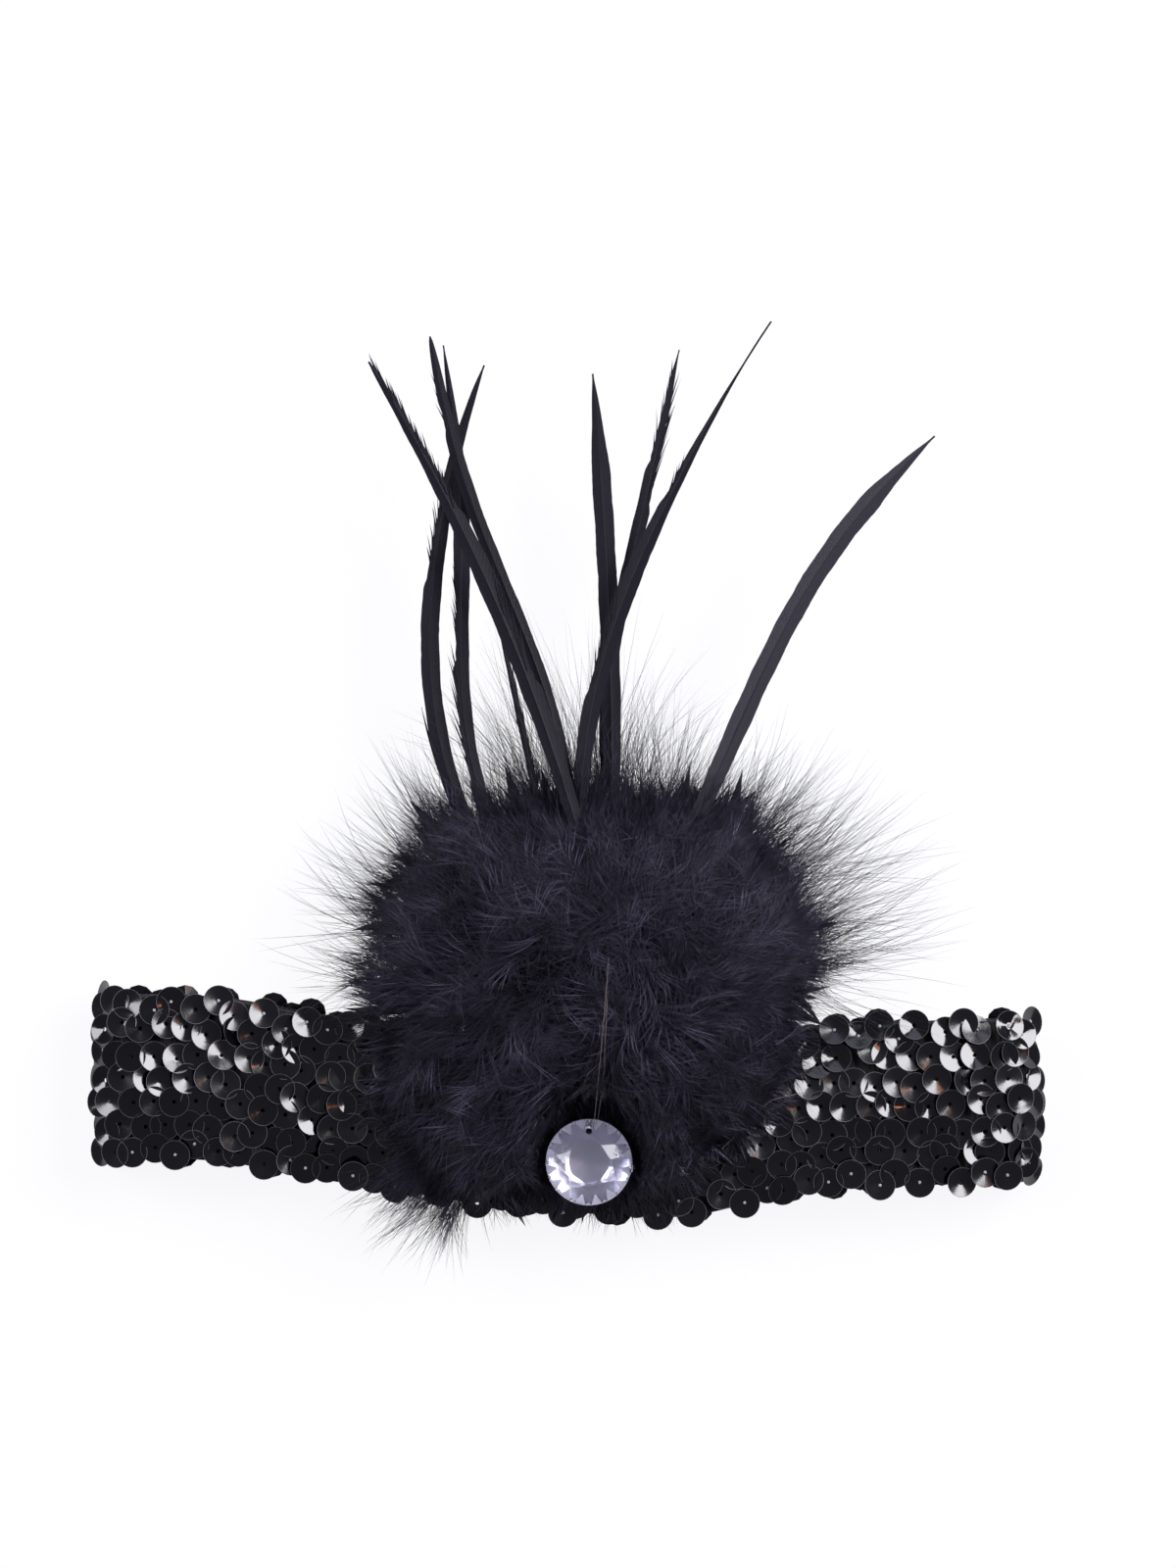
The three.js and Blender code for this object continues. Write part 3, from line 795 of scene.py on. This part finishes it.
def vane_links(material):
    barb = add_node(material, "ShaderNodeAttribute", {"attribute_name": "barb_place"})
    wave = add_node(
        material,
        "ShaderNodeTexWave",
        {"wave_type": "BANDS", "bands_direction": "X", "Scale": BAND / BARB_PERIOD,
         "Distortion": 0.6, "Detail": 1.0},
        {"Vector": barb.outputs["Vector"]},
    )
    bump = add_node(
        material, "ShaderNodeBump", {"Strength": 0.35, "Distance": 0.1 * MM},
        {"Height": wave.outputs["Fac"]},
    )
    rough = add_node(
        material, "ShaderNodeMapRange", {"To Min": 0.62, "To Max": 0.42},
        {"Value": wave.outputs["Fac"]},
    )
    return {"Normal": bump.outputs["Normal"], "Roughness": rough.outputs["Result"]}


# Close barbs with a trace of the bird's own oil: black with a dull sheen along the vane.
vane_black = new_material(
    "dyed goose vane",
    {"Base Color": linear(VANE_BLACK), "Specular IOR Level": 0.16},
    vane_links,
)
# One strip is painted paler, charcoal: a painted sheen of the lamps on it.
vane_painted_sheen = new_material(
    "dyed goose vane, painted sheen",
    {"Base Color": linear(VANE_PAINTED_SHEEN), "Specular IOR Level": 0.28},
    vane_links,
)


def quill_links(material):
    return {"Normal": dented(material, 1.2 * MM, 0.05 * MM, 0.5)}


# Horny keratin takes less dye than the barbs and is smoother, and the shaft's paler colour is also
# a painted highlight along it, so the shaft is a paler, finer line.
quill_black = new_material(
    "dyed quill",
    {"Base Color": linear(QUILL_BLACK), "Roughness": 0.5, "Specular IOR Level": 0.25},
    quill_links,
)
# Places across the vane from its left edge to its right, as shares of the half width.
VANE_ACROSS = np.array([-1, -0.72, -0.42, -0.14, 0, 0.14, 0.42, 0.72, 1])

for name, (root, tip, bow, sway, wide, full, fade, layer, climb, frays) in BLADES.items():
    start = HEART + np.array(root) * PUFF_REACH
    finish = HEART + np.array(tip) * BLADE_LENGTH
    run = finish - start
    ahead = run / np.hypot(*run)
    right = np.array([ahead[1], -ahead[0]])
    t = np.linspace(0, 1, BLADE_STATIONS)
    aside = np.hypot(*run) * (bow * 4 * t * (1 - t) + sway * np.sin(2 * math.pi * t))
    flat = start + np.outer(t, run) + np.outer(aside, right)
    height = BLADE_LOW + layer * BLADE_PITCH + climb * np.hypot(*run) * t**2
    spine = np.concatenate([flat, height[:, None]], 1)
    along = unit(np.gradient(spine, axis=0))
    side = unit(np.cross(along, np.array([0, 0, 1.0])))
    up = np.cross(side, along)
    ease = np.clip(t / 0.35, 0, 1)
    taper = np.maximum(BLADE_POINT, np.minimum(1, (1 - t) / full) ** fade)
    from_root = BLADE_ROOT + (1 - BLADE_ROOT) * ease**2 * (3 - 2 * ease)
    half = BLADE_WIDTH * wide / 2 * taper * from_root
    left_half = half * (1 + 0.03 * np.sin(61 * t) + rng.normal(scale=0.012, size=t.shape))
    right_half = half * (1 + 0.03 * np.sin(53 * t + 2) + rng.normal(scale=0.012, size=t.shape))
    barbs = []
    for hand, low, high, count, length in frays:
        inside = np.clip(np.minimum(t - low + 0.02, high + 0.02 - t) / 0.02, 0, 1)
        teeth = 0.3 + 0.12 * ((t - low) / (high - low) * count / 3 % 1)
        edge = right_half if hand > 0 else left_half
        edge *= 1 - inside * teeth
        for place in np.linspace(low, high, count) + rng.normal(scale=0.004, size=count):
            at = np.clip(place, 0.01, 0.98)
            j = int(at * (BLADE_STATIONS - 1))
            far = length * MM * rng.uniform(0.7, 1.15)
            u = np.linspace(0, 1, 5)[:, None]
            splay = rng.uniform(0.7, 1.25) * half[j]
            path = spine[j] + side[j] * hand * half[j] * 0.3
            bend = hand * (splay - 0.3 * half[j]) * u**1.3 + hand * rng.uniform(0, 0.5) * MM * u**3
            ends = np.interp(at + far / np.hypot(*run) * u[:, 0], t, height)
            path = path + along[j] * far * u + side[j] * bend
            path[:, 2] = ends + rng.uniform(-0.1, 0.3) * MM
            barbs.append(path)
    shares = np.where(
        VANE_ACROSS[None] < 0, VANE_ACROSS * left_half[:, None], VANE_ACROSS * right_half[:, None]
    )
    ridge = SHAFT / 2 * (1 - 0.8 * t)[:, None] * np.exp(-((shares / SHAFT_SPREAD) ** 2))
    cup = VANE_CUP * np.abs(shares)
    top = spine[:, None] + side[:, None] * shares[..., None]
    top = top + up[:, None] * (ridge - cup + BLADE_THICK / 2)[..., None]
    under = top[:, ::-1] - up[:, None] * (BLADE_THICK * (1 - 0.6 * t))[:, None, None]
    ring = np.concatenate([top, under], axis=1)
    count = ring.shape[1]
    i, k = np.meshgrid(np.arange(BLADE_STATIONS - 1), np.arange(count), indexing="ij")
    here, beyond, turn = i * count, (i + 1) * count, (k + 1) % count
    quads = np.stack([here + k, beyond + k, beyond + turn, here + turn], -1).reshape(-1, 4)
    k = np.arange(count // 2 - 1)
    cap = np.stack([k, k + 1, count - 2 - k, count - 1 - k], -1)
    last = (BLADE_STATIONS - 1) * count
    caps = np.concatenate([cap, last + cap[:, ::-1]])
    corners = ring.reshape(-1, 3)
    place = np.repeat(t * np.hypot(*run), count)
    over = np.concatenate([shares, shares[:, ::-1]], axis=1).ravel()
    barb_place = place - BARB_SLOPE * np.abs(over)
    faces = [quads, caps]
    if barbs:
        barbs = np.array(barbs)
        widths = FRAY_WIDTH * np.array([1, 0.9, 0.7, 0.4, 0])
        widths = widths * rng.uniform(0.7, 1.2, (len(barbs), 1))
        more, tris = strands(barbs, widths, sides=4, thin=0.4)
        faces.append(tris + len(corners))
        corners = np.concatenate([corners, more])
        barb_place = np.concatenate([barb_place, np.zeros(len(more))])
    # the charcoal strip's paler colour is a painted sheen
    vane = vane_painted_sheen if name == "right_outer_feather" else vane_black
    piece = add_piece(
        name.replace("feather", "vane"), corners, faces, [vane], [name], crease=50
    )
    store = piece.data.attributes.new("barb_place", "FLOAT_VECTOR", "POINT")
    level = 0 * barb_place
    store.data.foreach_set("vector", np.stack([barb_place, level, level], 1).ravel())
    quill = spine + up * (ridge[:, 4:5] + 0.1 * MM)
    corners, faces = strands(quill[None, ::6], (SHAFT * (1 - 0.75 * t[::6]))[None], sides=6)
    add_piece(
        name.replace("feather", "quill"), corners, [faces], [quill_black],
        crease=60,
    )


# Drop stone
# An 18 mm round stone moulded from clear acrylic, polished, with silver lacquer on its back facets.
# It is drilled near its edge and hangs on nylon. A nub is left at its side where the sprue was
# snapped off.
STONE_RADIUS = 9 * MM
STONE_MIDDLE = 21.4 * MM
STONE_TURN = 10.5  # degrees that the table's first corner stands from +X
# Rings of the stone's corners: share of the radius, height in millimetres, corners, and turn in
# parts of one corner's step.
STONE_RINGS = [
    (0.5, 2.8, 8, 0),
    (0.78, 1.5, 8, 0.5),
    (0.93, 0.66, 16, 0),
    (0.965, 0.45, 48, 0),
    (1, 0, 48, 0),
    (0.97, -0.4, 48, 0),
    (0.9, -0.65, 16, 0.5),
    (0.7, -1.3, 16, 0),
    (0.5, -1.95, 8, 0.5),
    (0.12, -2.4, 8, 0.5),
]
STONE_HOLE = 1.3 * MM
STONE_HOLE_REACH = 6.5 * MM
NUB_TURN = -8
ACRYLIC_CLEAR = "#f7f6ff"
LACQUER_SILVER = "#dedeea"


def acrylic_links(material):
    return {"Normal": dented(material, 4 * MM, 0.15 * MM, 0.02, detail=1.0)}


def lacquer_links(material):
    return {"Normal": dented(material, 2.5 * MM, 0.1 * MM, 0.1)}


# Polished acrylic: flat facets that are clear, or white where they face a lamp, and that bend what
# is behind them. The mould's flow leaves them a little wavy.
acrylic = new_material(
    "clear moulded acrylic",
    {"Base Color": linear(ACRYLIC_CLEAR), "Transmission Weight": 1.0, "IOR": 1.49,
     "Roughness": 0.0},
    acrylic_links,
)
# Silver lacquer seen through the acrylic is a soft mirror with a slight milkiness, so the stone is
# bright on black down and no facet of it goes dark.
silver = new_material(
    "silver lacquer",
    {"Base Color": linear(LACQUER_SILVER), "Metallic": 0.86, "Roughness": 0.18},
    lacquer_links,
)
# It is thicker and duller where it ran up the rim, which draws an even pale line round the stone.
dull_silver = new_material(
    "run of silver lacquer",
    {"Base Color": linear(LACQUER_SILVER), "Metallic": 0.3, "Roughness": 0.6},
    lacquer_links,
)

shell = bmesh.new()
for share, height, corners_round, turn in STONE_RINGS:
    for j in range(corners_round):
        angle = math.radians(STONE_TURN) + (j + turn) * 2 * math.pi / corners_round
        radius = share * STONE_RADIUS
        shell.verts.new((radius * math.cos(angle), radius * math.sin(angle), height * MM))
bmesh.ops.convex_hull(shell, input=shell.verts)
shell.verts.index_update()
stone_centre = np.array([*STONE_AXIS, STONE_MIDDLE])
corners = np.array([v.co for v in shell.verts]) + stone_centre
facets = np.array([[v.index for v in f.verts] for f in shell.faces])
depth = np.array([f.calc_center_median().z for f in shell.faces])
lacquered = (depth < -0.1 * MM).astype(int) + (np.abs(depth + 0.4 * MM) < 0.3 * MM)
shell.free()
stone = add_piece(
    "faceted_stone", corners, [facets], [acrylic, silver, dull_silver],
    ["drop_stone"], crease=3, finish=lacquered,
)
drill_mesh = bpy.data.meshes.new("drill")
drill = bpy.data.objects.new("drill", drill_mesh)
bit = bmesh.new()
bmesh.ops.create_cone(
    bit, segments=20, radius1=STONE_HOLE / 2, radius2=STONE_HOLE / 2, depth=20 * MM, cap_ends=True
)
hole = (*(STONE_AXIS + [0, STONE_HOLE_REACH]), STONE_MIDDLE)
bmesh.ops.translate(bit, vec=hole, verts=bit.verts)
bit.to_mesh(drill_mesh)
bit.free()
drilling = stone.modifiers.new("drilled hole", "BOOLEAN")
drilling.object = drill
drilling.solver = "EXACT"
drilled = bpy.data.meshes.new_from_object(
    stone.evaluated_get(bpy.context.evaluated_depsgraph_get())
)
drilled.shade_flat()
stone.modifiers.clear()
stone.data = drilled
bpy.data.objects.remove(drill)

angle = math.radians(NUB_TURN)
outward = np.array([math.cos(angle), math.sin(angle), 0])
path = stone_centre + outward * np.array([8.6, 9.1, 9.5, 9.8])[:, None] * MM
corners, faces = strands(path[None], np.array([[2.1, 1.8, 1.2, 0]]) * MM, sides=8)
add_piece("moulding_nub", corners, [faces], [acrylic], crease=30)


# Nylon thread
# Clear nylon monofilament, 0.13 mm thick. Two strands tie the stone to the heart of the puff and
# run in front of the down, and a cut end lies loose on the sequins at the right.
NYLON_THICK = 0.13 * MM
NYLON_CLEAR = "#8f8583"
NYLON_STRANDS = {
    "stone_thread": [
        (5.6, -5.2, 24.1), (5.8, -3.4, 25.2), (6.3, 2, 31),
        (7.0, 10, 38.6), (7.9, 20, 42.2), (8.8, 31.8, 41.5),
    ],
    "back_thread": [
        (5.6, -5.2, 21), (6.6, -2.9, 24), (7.7, 6, 34), (8.2, 18, 40.6), (8.9, 30, 39.5),
    ],
    "loose_thread": [(32.6, -9.4, 17.6), (37.3, -4.9, 18.2), (42.4, 0.6, 18.0), (50, 2.3, 17.2)],
}


def nylon_links(material):
    return {"Normal": dented(material, 3 * MM, 0.05 * MM, 0.3)}


# Nylon is clear but catches the lamps along its length: a thin grey line on the black.
nylon = new_material(
    "clear nylon",
    {"Base Color": linear(NYLON_CLEAR), "Transmission Weight": 0.5, "IOR": 1.53, "Roughness": 0.25},
    nylon_links,
)
for name, points in NYLON_STRANDS.items():
    points = np.array(points) * MM
    t = np.linspace(0, len(points) - 1, 30)
    path = np.stack([np.interp(t, np.arange(len(points)), points[:, axis]) for axis in range(3)], 1)
    for _ in range(3):
        path[1:-1] = (path[:-2] + 2 * path[1:-1] + path[2:]) / 4
    corners, faces = strands(path[None], NYLON_THICK * np.ones((1, len(path))), sides=6)
    add_piece(name, corners, [faces], [nylon], crease=60)


# Floor and lights
# A white sweep, a large soft box at the upper right, a weaker one at the upper left, and a dim wide
# panel beyond the feather tips.
FLOOR_GREY = "#4a4a4e"
FLOOR_WHITE = "#fafafc"
FLOOR_GLOW = 0.95
SOFTBOX_HEIGHT = 0.85
ROOM_GREY = "#c4c4d6"
ROOM_GLOW = 0.25  # a dim studio room, which the stone and the discs mirror

# Opal acrylic lit from below: an even white, so a single hair shows dark against it and the shadow
# of the headband all but goes.
floor_mesh = bpy.data.meshes.new("white sweep")
floor_mesh.from_pydata([(-3, -3, 0), (3, -3, 0), (3, 3, 0), (-3, 3, 0)], [], [(0, 1, 2, 3)])
floor_mesh.materials.append(
    new_material(
        "lit white acrylic",
        {"Base Color": linear(FLOOR_GREY), "Roughness": 0.9, "Specular IOR Level": 0.0,
         "Emission Color": linear(FLOOR_WHITE), "Emission Strength": FLOOR_GLOW},
    )
)
floor = bpy.data.objects.new("white_sweep", floor_mesh)
floor.location = (0, 0, -0.0002)
bpy.context.collection.objects.link(floor)


def add_softbox(name, place, size, glow, colour):
    """A soft box that faces the middle of the picture; glow is its radiance."""
    data = bpy.data.lights.new(name, "AREA")
    data.shape = "RECTANGLE"
    data.size, data.size_y = size
    data.energy = glow * size[0] * size[1] * math.pi
    data.color = linear(colour)[:3]
    light = bpy.data.objects.new(name, data)
    light.location = place
    aim = np.array([*VIEW_CENTRE, 0]) - np.array(place)
    light.rotation_euler = (
        math.acos(-aim[2] / np.linalg.norm(aim)), 0, math.atan2(aim[1], aim[0]) - math.pi / 2
    )
    bpy.context.collection.objects.link(light)


add_softbox("softbox_right", (0.92, 0.55, SOFTBOX_HEIGHT), (0.95, 0.8), 13, "#fbfaff")
add_softbox("softbox_left", (-1.0, 0.45, SOFTBOX_HEIGHT), (0.75, 0.7), 9, "#fbfaff")
add_softbox("panel_far", (0.0, 1.3, 0.8), (1.4, 0.6), 1.2, "#e8e9ff")
add_softbox("warm_lamp", (0.62, 0.15, 1.0), (0.04, 0.12), 10, "#ff9c66")

world = bpy.data.worlds.new("studio")
world.use_nodes = True
room = world.node_tree.nodes["Background"]
room.inputs["Color"].default_value = linear(ROOM_GREY)
room.inputs["Strength"].default_value = ROOM_GLOW
bpy.context.scene.world = world
